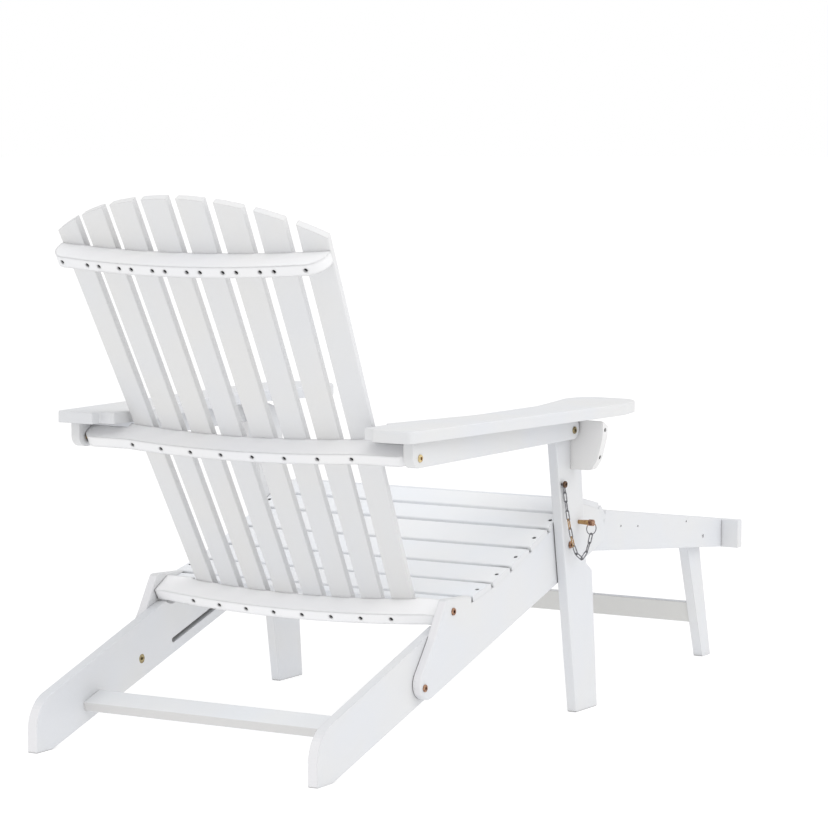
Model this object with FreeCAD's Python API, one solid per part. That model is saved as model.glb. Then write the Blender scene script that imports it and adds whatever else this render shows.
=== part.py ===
import FreeCAD, Part
import math
import os

V = FreeCAD.Vector
X_AXIS = V(1, 0, 0)

# Boards and gaps, in millimetres
BOARD = 18.0
BACK_SLAT = 13.0
SEAT_SLAT = 10.0
ARM_BOARD = 20.0
SEAT_GAP = 8.0
NOSE_GAP = 3.0
BACK_GAP = 18.0
TURN_GAP = 0.6
HOLE_PLAY = 0.05
HOUSED = 8.0
EDGE = 2.0
TOP_EDGE = 3.0
RAIL_EDGE = 5.0

# Layers from the middle of the chair outwards
FOOTREST_OUT = 264.8
REAR_LEG_IN = 266.0
RAIL_IN = REAR_LEG_IN + BOARD
RAIL_OUT = RAIL_IN + BOARD
FRONT_IN = RAIL_OUT + TURN_GAP
FRONT_OUT = FRONT_IN + BOARD
ARM_RAIL_IN = FRONT_OUT + TURN_GAP
ARM_RAIL_OUT = ARM_RAIL_IN + BOARD

# Side view: y counts rearwards from the rear of the front foot, and Y_MID is the middle of the floor area
Y_MID = 48.0
SLOPE = math.radians(17.6)
UNDER_Y, UNDER_Z = 480.0, 87.0
FLOOR_Y = UNDER_Y + UNDER_Z / math.tan(SLOPE)

# Pivots, bolts and pin in the side view
BACK_PIVOT = (405.0, 231.0)
LEG_PIVOT = (33.0, 301.0)
REAR_BOLT = (497.3, 116.0)
PIN_HOLE = (2.0, 338.0)
CHAIN_ANCHOR = (64.0, 410.5)
ARM_FRONT_Y = 54.0

# Side-view outlines as (y, z, corner radius)
SEAT_LINE = [(372.0, 230.4), (342.0, 237.9), (273.0, 253.4), (208.3, 273.3), (141.0, 297.9),
             (76.5, 324.8), (25.3, 346.3), (-40.0, 364.6), (-107.0, 348.6), (-131.0, 322.7)]
RAIL_REAR = [(556.0, 68.4, 27.5), (461.0, 191.0, 60.0), (423.0, 253.0, 10.0), (345.0, 249.0, 0.0),
             (345.0, 237.1, 0.0)]
RAIL_NOSE = (-133.0, 14.0)
RAIL_LIFT, HEEL_EDGE = 5.5, 12.0
REAR_LEG_TOP = [(798.0, 0.0, 2.0), (798.0, 81.0, 60.0), (384.0, 220.0, 20.0), (-60.0, 330.0, 10.0),
                (-100.0, 322.0, 8.0)]
FRONT_LEG = [(8.0, 0.0, 3.0), (91.0, 521.0, 12.0), (57.0, 525.0, 8.0), (0.0, 507.0, 8.0),
             (-28.0, 262.0, 8.0), (-50.0, 247.0, 8.0), (-71.0, 0.0, 3.0)]
FOOT_LEG = [(-641.0, 0.0, 3.0), (-675.0, 0.0, 3.0), (-615.0, 256.0, 6.0), (-561.0, 259.0, 6.0)]

# Back, in its own frame: u runs up the slats and w rearwards, both from the back pivot
RECLINE = 28.6
BACK_SLATS = 8
BACK_PITCH, BACK_SPREAD = 57.1, 0.0155
BACK_LOW, BACK_HIGH, BACK_ARC, CROWN_DEEP = -10.0, 788.0, 486.0, 400.0
SLAT_W, SLAT_CURVE = 2.7, 1700.0
BRACE_REAR_W, BRACE_THICK, BRACE_BITE = 46.0, 20.0, 0.4
TOP_U, TOP_CURVE, TOP_HALF, TOP_FLAT, TOP_FRONT, TOP_ROUND = 678.0, 1500.0, 263.0, 228.0, 250.0, 34.0
MID_U, MID_CURVE, MID_FLAT, MID_FRONT, MID_DEEP = 322.0, 1866.0, 230.0, 246.0, 22.0
MID_REAR_ROUND, MID_FRONT_ROUND = 20.0, 4.0
LOW_U, LOW_CURVE, LOW_FLAT, LOW_FRONT, LOW_END_W, LOW_PLAY = 0.0, 1920.0, 262.0, 226.0, -17.0, 0.8
ARM_REAR_W = 18.0
LOOP_PLAY = 1.3
SWEEP_R = 31.0

# Arms: plan outline as (x, y, corner radius), and the bracket under each arm as (x, z, corner radius)
ARM_UNDER_Z, ARM_LEVEL_Y, ARM_TILT = 527.0, 24.0, 0.5
ARM_RAIL_HIGH, ARM_RAIL_REAR = 38.0, 597.0
ARM_PLAN = [(350.0, 622.0, 8.0), (277.0, 622.0, 4.0), (277.0, 599.0, 3.0), (248.0, 599.0, 3.0),
            (248.0, 516.0, 3.0), (236.0, 516.0, 5.0), (280.0, 300.0, 200.0), (284.0, 92.0, 200.0),
            (250.0, -75.0, 50.0), (262.0, -131.0, 36.0), (370.0, -131.0, 45.0), (390.0, -40.0, 60.0),
            (388.0, 30.0, 100.0)]
ARM_SCREW_Y = (120.0, 300.0, 480.0)
BRACKET = [(FRONT_OUT, 434.0, 0.0), (361.0, 434.0, 10.0), (373.0, 452.0, 40.0), (384.0, 495.0, 80.0),
           (384.0, 521.0, 4.0), (FRONT_OUT, 521.0, 0.0)]
BRACKET_Y0, BRACKET_Y1 = 15.0, 33.0
BRACKET_FALL = 10.0
BRACKET_SCREWS = [(383.5, 505.0), (372.2, 457.0)]

# Bar between the rear legs
BAR_Y, BAR_Z, BAR_WIDE, BAR_THICK = 668.0, 66.0, 50.0, 17.0

# Footrest
GROOVE_REAR, GROOVE_FRONT, GROOVE_Z = 401.7, -80.0, 135.5
GROOVE_WIDE, GROOVE_DEEP, AXLE_R = 9.4, 12.0, 4.5
FOOT_REAR, FOOT_FRONT = (-206.6, 322.7), (-684.0, 253.8)
FOOT_UNDER_Z, FOOT_BEND, FOOT_HEEL = 210.0, (-150.0, 264.3), -56.0
FOOT_STEP = (-196.0, 300.0, 14.0)
HEEL_HALF, HEEL_ROUND = 24.0, 20.0
FOOT_SLATS = 7
FOOT_MARKS = [(-265.5, 297.0), (-333.0, 289.3), (-532.0, 276.0)]
FOOT_LEG_OUT = FOOTREST_OUT - BOARD
FOOT_LEG_IN = FOOT_LEG_OUT - BOARD
FOOT_SCREW_FROM_OUT, FOOT_SCREW_FROM_IN = (-604.0, 240.0), (-587.0, 224.0)
STRETCHER_Y, STRETCHER_Z, STRETCHER_HIGH = -627.0, 88.0, 40.0
STRETCHER_LEAN = 0.24
FRONT_BOARD_HALF, FRONT_BOARD_LOW, FRONT_SCREW_Z = 299.0, 210.0, (224.0, 248.0)

# Fasteners, pin, ring and chain
BOLT_R, BOLT_HEAD_R, BOLT_HEAD_T, BOLT_IN = 4.0, 6.3, 2.5, 40.0
SLEEVE_R, SOCKET_R, SOCKET_DEEP = 8.0, 2.9, 4.0
SCREW_R, SCREW_HEAD_R, SCREW_HEAD_T, SLAT_SCREW = 2.0, 3.6, 2.4, 28.0
SLAT_SINK, BACK_SINK, BRACKET_SINK, ARM_SINK = 1.5, 3.0, 4.0, 8.0
TOP_SCREW_APART = 25.0
PIN_R, PIN_TIP_IN, PIN_DRAWN, PIN_KNOB = 3.5, 2.0, 29.5, 8.0
RING_R, RING_WIRE, RING_PLAY, RING_TURN = 10.3, 0.9, 0.35, math.radians(25.0)
NECK_R, NECK_OUT, CAP_R, CAP_T, CAP_SOCKET = 1.2, 5.2, 6.0, 3.4, 2.2
LINKS, LINK_WIRE, LINK_BOW, LINK_PITCH, LINK_PLAY = 12, 1.0, 2.6, 16.2, 0.22
CHAIN_OUT, SAG_LEAST, SAG_MOST = 3.6, 20.0, 160.0

parts = {}


def under(y):
    """Height of the underside of the rear legs, which the seat rails follow a little higher."""
    return UNDER_Z + (UNDER_Y - y) * math.tan(SLOPE)


def groove(y):
    """Height of the middle of the footrest groove."""
    return GROOVE_Z + (GROOVE_REAR - y) * math.tan(SLOPE)


def side(y, z, x=0.0):
    """Point of the side view."""
    return V(x, y - Y_MID, z)


def unit(vector):
    """The same direction with length one."""
    return vector * (1.0 / vector.Length)


def rounded_face(corners, place):
    """Flat face through corners (a, b, radius), each radius rounding its corner."""
    count = len(corners)
    bends = []
    for i, (a, b, radius) in enumerate(corners):
        here = place(a, b)
        if radius <= 0:
            bends.append((here, None, here))
            continue
        to_last = unit(place(*corners[i - 1][:2]).sub(here))
        to_next = unit(place(*corners[(i + 1) % count][:2]).sub(here))
        half = to_last.getAngle(to_next) / 2
        reach = radius / math.tan(half)
        middle = here.add(unit(to_last.add(to_next)) * (radius / math.sin(half) - radius))
        bends.append((here.add(to_last * reach), middle, here.add(to_next * reach)))
    edges = []
    for i, (start, middle, end) in enumerate(bends):
        if middle is not None:
            edges.append(Part.Arc(start, middle, end).toShape())
        following = bends[(i + 1) % count][0]
        if end.distanceToPoint(following) > 1e-6:
            edges.append(Part.makeLine(end, following))
    return Part.Face(Part.Wire(edges))


def eased(shape, radius, wanted):
    """Round off the edges that the wanted test picks."""
    return shape.makeFillet(radius, [e for e in shape.Edges if wanted(e)])


def on_x(edge, x):
    """True for an edge that lies on the plane at x."""
    return all(abs(v.X - x) < 1e-4 for v in edge.Vertexes)


def board(corners, x0, x1):
    """Board with a side-view outline between two x planes."""
    return rounded_face(corners, lambda y, z: side(y, z, x0)).extrude(V(x1 - x0, 0, 0))


def cross_blank(start, end, up, half_length):
    """Square-edged slat across the chair, lying on the line from start to end."""
    low = V(-half_length, start.y, start.z)
    high = V(-half_length, end.y, end.z)
    rise = up * SEAT_SLAT
    ring = Part.makePolygon([low, high, high.add(rise), low.add(rise), low])
    return Part.Face(ring).extrude(V(2 * half_length, 0, 0))


def cross_board(start, end, up, half_length):
    """The same slat with its top edges rounded."""
    top = start.add(up * SEAT_SLAT)
    return eased(cross_blank(start, end, up, half_length), TOP_EDGE,
                 lambda e: e.Length > half_length and e.CenterOfMass.sub(top).dot(up) > -1e-4)


def rod(start, end, radius, end_radius=None):
    """Round bar between two points, tapered when a second radius is given."""
    axis = end.sub(start)
    if end_radius is None:
        return Part.makeCylinder(radius, axis.Length, start, axis)
    return Part.makeCone(radius, end_radius, axis.Length, start, axis)


def mirrored(shape):
    """The same piece on the other side of the chair."""
    return shape.mirror(V(0, 0, 0), X_AXIS)


def both(shapes):
    """Left pieces with their mirror images."""
    return shapes + [mirrored(s) for s in shapes]


def pair(name, shape):
    """Keep a piece for the left side and its mirror image for the right."""
    parts[name + "_left"] = shape
    parts[name + "_right"] = mirrored(shape)


def screw(tip, head, sink):
    """Wood screw with a cross slot, its head sunk below the surface at head."""
    way = unit(head.sub(tip))
    top = head.sub(way * sink)
    seat = top.sub(way * SCREW_HEAD_T)
    slot = Part.makeBox(SCREW_HEAD_R * 1.3, 1.0, 2.4, V(-SCREW_HEAD_R * 0.65, -0.5, -1.2))
    cross = slot.fuse(slot.rotated(V(0, 0, 0), V(0, 0, 1), 90))
    cross.Placement = FreeCAD.Placement(top, FreeCAD.Rotation(V(0, 0, 1), way))
    return rod(tip, seat, SCREW_R).fuse(rod(seat, top, SCREW_HEAD_R)).cut(cross).removeSplitter()


def screw_hole(tip, head, sink):
    """Room for that screw: a pilot hole and a wider one for its head."""
    way = unit(head.sub(tip))
    seat = head.sub(way * (sink + SCREW_HEAD_T))
    pilot = rod(tip, seat, SCREW_R + HOLE_PLAY)
    return pilot.fuse(rod(seat, head.add(way * (sink + 1)), SCREW_HEAD_R + HOLE_PLAY))


def socket(mouth, out, deep):
    """Hexagon socket that opens at mouth."""
    turns = [k * math.pi / 3 for k in range(7)]
    ring = Part.makePolygon([V(SOCKET_R * math.cos(t), SOCKET_R * math.sin(t), 0) for t in turns])
    hole = Part.Face(ring).extrude(V(0, 0, -deep))
    hole.Placement = FreeCAD.Placement(mouth, FreeCAD.Rotation(V(0, 0, 1), out))
    return hole


def bolt(pivot, outer, inner, sleeve):
    """Flanged bolt along x with a hexagon socket, and a flanged sleeve nut at its inner end where asked."""
    start, end = side(*pivot, inner), side(*pivot, outer)
    tip = end.add(V(BOLT_HEAD_T, 0, 0))
    cap = rod(end, tip, BOLT_HEAD_R)
    cap = eased(cap, BOLT_HEAD_T / 2, lambda e: e.CenterOfMass.distanceToPoint(tip) < 1e-4)
    body = rod(start, end, BOLT_R).fuse(cap).cut(socket(tip, X_AXIS, SOCKET_DEEP))
    if sleeve:
        body = body.fuse(rod(start, start.add(V(BOLT_HEAD_T, 0, 0)), SLEEVE_R))
        body = body.cut(socket(start, X_AXIS * -1, SOCKET_DEEP))
    return body.removeSplitter()


def bolt_hole(pivot, x0, x1):
    """Hole for a bolt along x, cut a little past both faces."""
    return rod(side(*pivot, x0 - 1), side(*pivot, x1 + 1), BOLT_R + HOLE_PLAY)


def to_chair(shape):
    """Turn a piece drawn in the frame of the back into its place on the chair."""
    turned = shape.rotated(V(0, 0, 0), X_AXIS, -RECLINE)
    turned.translate(side(*BACK_PIVOT))
    return turned


def back_to_side(w, u):
    """Side-view position of a point of the back."""
    tilt = math.radians(RECLINE)
    y = BACK_PIVOT[0] + u * math.sin(tilt) + w * math.cos(tilt)
    z = BACK_PIVOT[1] + u * math.cos(tilt) - w * math.sin(tilt)
    return y, z


ARM_REAR = back_to_side(ARM_REAR_W, MID_U)
ARM_FRONT = (ARM_FRONT_Y, ARM_REAR[1])


def seat_gap(i):
    """Gap between the seat slats at a corner of the seat line, closer at the nose."""
    return NOSE_GAP if i == len(SEAT_LINE) - 2 else SEAT_GAP


# Seat slats, the rearmost let into the rails and the others screwed on top of them
seat_screws = []
seat_holes = []
for i in range(len(SEAT_LINE) - 1):
    low, high = side(*SEAT_LINE[i]), side(*SEAT_LINE[i + 1])
    along = unit(high.sub(low))
    up = along.cross(X_AXIS)
    if up.z < 0:
        up = up * -1
    start, end = low.add(along * (seat_gap(i) / 2)), high.sub(along * (seat_gap(i + 1) / 2))
    if i == 0:
        slat_housing = cross_blank(start, high, up, RAIL_IN + HOUSED)
        parts["seat_slat_1"] = cross_board(start, end, up, RAIL_IN + HOUSED)
        continue
    slat = cross_board(start, end, up, RAIL_OUT)
    head = (low.add(high) * 0.5).add(up * SEAT_SLAT).add(X_AXIS * (RAIL_OUT - BOARD / 2))
    tip = head.sub(up * SLAT_SCREW)
    seat_screws.append(screw(tip, head, SLAT_SINK))
    seat_holes.append(screw_hole(tip, head, SLAT_SINK))
    parts["seat_slat_%d" % (i + 1)] = slat.cut(both(seat_holes[-1:]))

# Seat rails, with the edges of ear, tail and underside rounded, more so on the outside
pin_way = rod(side(*PIN_HOLE, REAR_LEG_IN - 1), side(*PIN_HOLE, FRONT_OUT + 1), PIN_R + HOLE_PLAY)
nose_y, nose_round = RAIL_NOSE
rail_ring = RAIL_REAR + [(y, z, 0.0) for y, z in SEAT_LINE[1:]]
rail_ring.append((nose_y, under(nose_y) + RAIL_LIFT, nose_round))
rail = board(rail_ring, RAIL_IN, RAIL_OUT)
ear_front = RAIL_REAR[-1][0] - Y_MID
for x, radius in ((RAIL_OUT, RAIL_EDGE), (RAIL_IN, EDGE)):
    rail = eased(rail, radius, lambda e: on_x(e, x) and e.CenterOfMass.y > ear_front + 1)
rail_bolts = [bolt_hole(p, RAIL_IN, RAIL_OUT) for p in (REAR_BOLT, LEG_PIVOT, BACK_PIVOT)]
pair("seat_rail", rail.cut(seat_holes + rail_bolts + [slat_housing, pin_way]))


def on_bar(a, b):
    """Side-view point, a forwards along the top of the rear bar and b down into it."""
    y = BAR_Y - a * math.cos(SLOPE) - b * math.sin(SLOPE)
    z = BAR_Z + a * math.sin(SLOPE) - b * math.cos(SLOPE)
    return y, z


# Bar between the rear legs, its ends let into them
bar_ring = [on_bar(0, 0), on_bar(BAR_WIDE, 0), on_bar(BAR_WIDE, BAR_THICK), on_bar(0, BAR_THICK)]
bar = board([(y, z, TOP_EDGE) for y, z in bar_ring], -REAR_LEG_IN - HOUSED, REAR_LEG_IN + HOUSED)
parts["rear_cross_bar"] = bar

# Rear legs, each with the groove that carries the footrest and room for the turning back
nose_y, _, nose_round = REAR_LEG_TOP[-1]
leg_ring = REAR_LEG_TOP + [(nose_y, under(nose_y), nose_round), (FLOOR_Y, 0.0, HEEL_EDGE)]
leg = board(leg_ring, REAR_LEG_IN, RAIL_IN)
leg = eased(leg, EDGE, lambda e: on_x(e, REAR_LEG_IN))
rear, fore = [side(y, groove(y), REAR_LEG_IN - 1) for y in (GROOVE_REAR, GROOVE_FRONT)]
half = unit(fore.sub(rear).cross(X_AXIS)) * (GROOVE_WIDE / 2)
into = V(GROOVE_DEEP + 1, 0, 0)
groove_ring = [rear.add(half), fore.add(half), fore.sub(half), rear.sub(half), rear.add(half)]
groove_cut = [Part.Face(Part.makePolygon(groove_ring)).extrude(into)]
groove_cut += [rod(p, p.add(into), GROOVE_WIDE / 2) for p in (rear, fore)]
sleeve_room = [rod(side(*p, REAR_LEG_IN - 1), side(*p, REAR_LEG_IN + BOLT_HEAD_T), SLEEVE_R + HOLE_PLAY)
               for p in (REAR_BOLT, LEG_PIVOT)]
sweep_room = rod(side(*BACK_PIVOT, REAR_LEG_IN - 1), side(*BACK_PIVOT, RAIL_IN + 1), SWEEP_R)
leg_bolts = [bolt_hole(p, REAR_LEG_IN, RAIL_IN) for p in (REAR_BOLT, LEG_PIVOT)]
pair("rear_leg", leg.cut(groove_cut + sleeve_room + leg_bolts + [bar, sweep_room, pin_way]))
parts["seat_screws"] = Part.makeCompound(both(seat_screws))
parts["frame_bolts"] = Part.makeCompound(both([
    bolt(REAR_BOLT, RAIL_OUT, REAR_LEG_IN, True),
    bolt(LEG_PIVOT, FRONT_OUT + TURN_GAP, REAR_LEG_IN, True),
    bolt(BACK_PIVOT, RAIL_OUT, RAIL_IN - BOLT_IN, False)]))


def back_pitch(u):
    """Distance between slat centres at a height along the back."""
    return BACK_PITCH + BACK_SPREAD * u


def slat_w(x):
    """Rear face of the slats at a distance from the middle."""
    return SLAT_W - x * x / (2 * SLAT_CURVE)


def brace_rear(x, curve):
    """Rear edge of a brace at a distance from the middle."""
    return BRACE_REAR_W - x * x / (2 * curve)


def slat_centre(i, u):
    """Middle of the rear face of a slat at a height, on the straight line between its two ends."""
    place = i - (BACK_SLATS - 1) / 2
    ends = []
    for level in (BACK_LOW, BACK_HIGH):
        x = place * back_pitch(level)
        ends.append(V(x, slat_w(x), level))
    return ends[0].add(ends[1].sub(ends[0]) * ((u - BACK_LOW) / (BACK_HIGH - BACK_LOW)))


def slat_broad(i):
    """Direction across the face of a slat."""
    turn = -math.atan(slat_centre(i, MID_U).x / SLAT_CURVE)
    return V(math.cos(turn), math.sin(turn), 0)


# Back slats: flat, wider towards the top, set on a shallow curve and cut to one arc
crown_from = V(0, -CROWN_DEEP / 2, BACK_HIGH - BACK_ARC)
crown = Part.makeCylinder(BACK_ARC, CROWN_DEEP, crown_from, V(0, 1, 0))
slats = []
for i in range(BACK_SLATS):
    broad = slat_broad(i)
    front = V(broad.y, -broad.x, 0) * BACK_SLAT
    rings = []
    for u in (BACK_LOW, BACK_HIGH):
        half = broad * ((back_pitch(u) - BACK_GAP) / 2)
        left, right = slat_centre(i, u).sub(half), slat_centre(i, u).add(half)
        rings.append(Part.makePolygon([left, right, right.add(front), left.add(front), left]))
    slat = eased(Part.makeLoft(rings, True, True), EDGE, lambda e: e.Length > MID_U)
    slats.append(slat.common(crown))


def brace(u, half_length, curve, rear_flat, front_half, end_front, rear_round, front_round):
    """Brace behind the slats: curved front and rear edges, straight and rounded towards its ends."""
    def at(x, w):
        return V(x, w, u - BRACE_THICK / 2)

    rear_w = brace_rear(rear_flat, curve)
    front_w = slat_w(front_half) - BRACE_BITE
    right = [(rear_flat, rear_w), (half_length, rear_w), (half_length, end_front), (front_half, end_front),
             (front_half, front_w)]
    left = [(-x, w) for x, w in reversed(right)]
    edges = [Part.makeLine(at(*p), at(*q)) for run in (right, left) for p, q in zip(run, run[1:]) if p != q]
    edges.append(Part.Arc(at(*right[-1]), at(0, SLAT_W - BRACE_BITE), at(*left[0])).toShape())
    edges.append(Part.Arc(at(*left[-1]), at(0, BRACE_REAR_W), at(*right[0])).toShape())
    blank = Part.Face(Part.Wire(Part.__sortEdges__(edges))).extrude(V(0, 0, BRACE_THICK))
    for w, radius in ((rear_w, rear_round), (end_front, front_round)):
        corners = [at(half_length, w), at(-half_length, w)]
        middles = [corner.add(V(0, 0, BRACE_THICK / 2)) for corner in corners]
        blank = eased(blank, radius, lambda e: abs(e.Length - BRACE_THICK) < 1e-4
                      and min(e.CenterOfMass.distanceToPoint(m) for m in middles) < 1e-4)
    return blank.cut(slats)


top_end = slat_w(TOP_FRONT) - BRACE_BITE
mid_end = ARM_REAR_W - MID_DEEP
top_brace = brace(TOP_U, TOP_HALF, TOP_CURVE, TOP_FLAT, TOP_FRONT, top_end, TOP_ROUND, TOP_EDGE)
mid_brace = brace(MID_U, FRONT_OUT, MID_CURVE, MID_FLAT, MID_FRONT, mid_end,
                  MID_REAR_ROUND, MID_FRONT_ROUND)
low_rail = brace(LOW_U, RAIL_IN - LOW_PLAY, LOW_CURVE, LOW_FLAT, LOW_FRONT, LOW_END_W, EDGE, EDGE)

# Screws through the rear edge of each brace into the slats, two for each inner slat at the top
back_screws = []
back_holes = []
screw_rows = [(TOP_U, TOP_CURVE, TOP_SCREW_APART), (MID_U, MID_CURVE, 0.0), (LOW_U, LOW_CURVE, 0.0)]
for u, curve, apart in screw_rows:
    for i in range(BACK_SLATS):
        single = apart == 0.0 or i in (0, BACK_SLATS - 1)
        for shift in ((0.0,) if single else (-apart / 2, apart / 2)):
            contact = slat_centre(i, u).add(slat_broad(i) * shift)
            head = V(contact.x, brace_rear(contact.x, curve), u)
            tip = contact.sub(V(0, BACK_SLAT * 0.6, 0))
            back_screws.append(screw(tip, head, BACK_SINK))
            back_holes.append(screw_hole(tip, head, BACK_SINK))
back_bore = rod(V(RAIL_IN - BOLT_IN - 1, 0, LOW_U), V(RAIL_IN, 0, LOW_U), BOLT_R + HOLE_PLAY)
arm_bore = rod(V(ARM_RAIL_IN - BOLT_IN - 1, ARM_REAR_W, MID_U), V(ARM_RAIL_IN, ARM_REAR_W, MID_U),
               BOLT_R + LOOP_PLAY)
for i, slat in enumerate(slats):
    parts["back_slat_%d" % (i + 1)] = to_chair(slat.cut(back_holes))
parts["top_brace"] = to_chair(top_brace.cut(back_holes))
parts["mid_brace"] = to_chair(mid_brace.cut(back_holes + both([arm_bore])))
parts["back_bottom_rail"] = to_chair(low_rail.cut(back_holes + both([back_bore])))
parts["back_screws"] = to_chair(Part.makeCompound(back_screws))

# Brackets under the arms, each held by two screws into its leg
bracket_y = (BRACKET_Y0 + BRACKET_Y1) / 2
bracket_top = BRACKET[-1][1]
bracket_face = rounded_face(BRACKET, lambda x, z: side(BRACKET_Y0, z, x))
bracket = bracket_face.extrude(V(0, BRACKET_Y1 - BRACKET_Y0, 0))
bevel_ring = [(BRACKET_Y1, bracket_top, 0.0), (BRACKET_Y0, bracket_top - BRACKET_FALL, 0.0),
              (BRACKET_Y0, bracket_top, 0.0)]
bracket = bracket.cut(board(bevel_ring, FRONT_OUT - 1, BRACKET[3][0] + 1))
leg_screws = []
leg_holes = []
for x, z in BRACKET_SCREWS:
    tip = side(bracket_y, z, FRONT_OUT - BOARD * 0.7)
    head = side(bracket_y, z, x)
    leg_screws.append(screw(tip, head, BRACKET_SINK))
    leg_holes.append(screw_hole(tip, head, BRACKET_SINK))
pair("arm_bracket", bracket.cut(leg_holes))

# Anchor of the chain: a screw with a neck that the first link hangs on, and a cap with a socket
anchor_tip = side(*CHAIN_ANCHOR, FRONT_OUT - BOARD * 0.7)
anchor_face = side(*CHAIN_ANCHOR, FRONT_OUT)
anchor_head = side(*CHAIN_ANCHOR, FRONT_OUT + NECK_OUT)
anchor_end = anchor_head.add(V(CAP_T, 0, 0))
cap = eased(rod(anchor_head, anchor_end, CAP_R), 1.0,
            lambda e: e.CenterOfMass.distanceToPoint(anchor_end) < 1e-4)
anchor = rod(anchor_tip, anchor_face, SCREW_R).fuse(rod(anchor_face, anchor_head, NECK_R)).fuse(cap)
leg_screws.append(anchor.removeSplitter().cut(socket(anchor_end, X_AXIS, CAP_SOCKET)))
leg_holes.append(rod(anchor_tip, anchor_face.add(X_AXIS), SCREW_R + HOLE_PLAY))
pair("front_leg_screws", Part.makeCompound(leg_screws))

# Front legs
front_leg = board(FRONT_LEG, FRONT_IN, FRONT_OUT)
front_leg = eased(front_leg, EDGE, lambda e: on_x(e, FRONT_OUT) or on_x(e, FRONT_IN))
leg_bolts = [bolt_hole(p, FRONT_IN, FRONT_OUT) for p in (LEG_PIVOT, ARM_FRONT)]
pair("front_leg", front_leg.cut(leg_holes + leg_bolts + [pin_way]))


def arm_under(y):
    """Height of the underside of the arms, which rise a little to the rear."""
    return ARM_UNDER_Z + (y - ARM_LEVEL_Y) * math.tan(math.radians(ARM_TILT))


# Arms, with the rails they are screwed to and the bolts that they turn on
arm = rounded_face(ARM_PLAN, lambda x, y: side(y, ARM_UNDER_Z, x)).extrude(V(0, 0, ARM_BOARD))
arm = eased(arm, TOP_EDGE, lambda e: all(abs(v.Z - ARM_UNDER_Z - ARM_BOARD) < 1e-4 for v in e.Vertexes))
arm = arm.rotated(side(ARM_LEVEL_Y, ARM_UNDER_Z), X_AXIS, ARM_TILT)
rail_low = ARM_UNDER_Z - ARM_RAIL_HIGH
rail_round = ARM_RAIL_HIGH / 2 - 0.1
rail_front = ARM_FRONT_Y - ARM_RAIL_HIGH / 2
arm_rail = board([(rail_front, rail_low, rail_round), (ARM_RAIL_REAR, rail_low, rail_round),
                  (ARM_RAIL_REAR, arm_under(ARM_RAIL_REAR), TOP_EDGE),
                  (rail_front, arm_under(rail_front), rail_round)],
                 ARM_RAIL_IN, ARM_RAIL_OUT)
arm_rail = eased(arm_rail, EDGE, lambda e: on_x(e, ARM_RAIL_OUT) and e.CenterOfMass.z < ARM_UNDER_Z - 1)
arm_fixings = [bolt(ARM_FRONT, ARM_RAIL_OUT, FRONT_IN - TURN_GAP - BOLT_HEAD_T, True),
               bolt(ARM_REAR, ARM_RAIL_OUT, ARM_RAIL_IN - BOLT_IN, False)]
arm_holes = []
for y in ARM_SCREW_Y:
    tip = side(y, ARM_UNDER_Z + ARM_BOARD * 0.65, ARM_RAIL_IN + BOARD / 2)
    head = side(y, rail_low, ARM_RAIL_IN + BOARD / 2)
    arm_fixings.append(screw(tip, head, ARM_SINK))
    arm_holes.append(screw_hole(tip, head, ARM_SINK))
arm_bolts = [bolt_hole(p, ARM_RAIL_IN, ARM_RAIL_OUT) for p in (ARM_FRONT, ARM_REAR)]
pair("arm", arm.cut(arm_holes))
pair("arm_rail", arm_rail.cut(arm_holes + arm_bolts))
pair("arm_fixings", Part.makeCompound(arm_fixings))

# Lock pins, drawn out so that their tips stay in the front legs, each with a loose ring
knob_x = FRONT_OUT + PIN_DRAWN - PIN_KNOB
pin_tip, pin_face = side(*PIN_HOLE, FRONT_IN + PIN_TIP_IN), side(*PIN_HOLE, FRONT_OUT + TURN_GAP)
knob_in, knob_out = side(*PIN_HOLE, knob_x), side(*PIN_HOLE, knob_x + PIN_KNOB)
ring_centre = side(PIN_HOLE[0], PIN_HOLE[1] - RING_R, knob_x + PIN_KNOB / 2)
ring_axis = V(math.cos(RING_TURN), math.sin(RING_TURN), 0)
ring = Part.makeTorus(RING_R, RING_WIRE, ring_centre, ring_axis)
ring_way = Part.makeTorus(RING_R, RING_WIRE + RING_PLAY, ring_centre, ring_axis)
pin = rod(pin_tip, pin_face, PIN_R).fuse(rod(pin_face, knob_in, PIN_R, PIN_R + 1.2))
pin = pin.fuse(rod(knob_in, knob_out, PIN_R + 2.2)).removeSplitter().cut(ring_way)
pair("lock_pin", Part.makeCompound([pin, ring]))


def link(start, end, normal, reach_start, reach_end):
    """Chain link round two joints, lying square to the normal."""
    way = unit(end.sub(start))
    first, last = start.sub(way * reach_start), end.add(way * reach_end)
    bow = unit(normal.cross(way)) * LINK_BOW
    near, far = first.add(way * LINK_BOW), last.sub(way * LINK_BOW)
    path = Part.Wire([Part.makeLine(near.add(bow), far.add(bow)),
                      Part.Arc(far.add(bow), last, far.sub(bow)).toShape(),
                      Part.makeLine(far.sub(bow), near.sub(bow)),
                      Part.Arc(near.sub(bow), first, near.add(bow)).toShape()])
    section = Part.Wire(Part.makeCircle(LINK_WIRE, near.add(bow), way))
    return path.makePipeShell([section], True, False)


def hanging_joints(start, end, sag):
    """Joints one link apart along a chain that hangs in a parabola from start to end."""
    joints = [start]
    steps = 2000
    for k in range(1, steps + 1):
        t = k / steps
        spot = start.add(end.sub(start) * t).sub(V(0, 0, 4 * sag * t * (1 - t)))
        if spot.distanceToPoint(joints[-1]) >= LINK_PITCH:
            joints.append(spot)
    return joints


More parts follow.
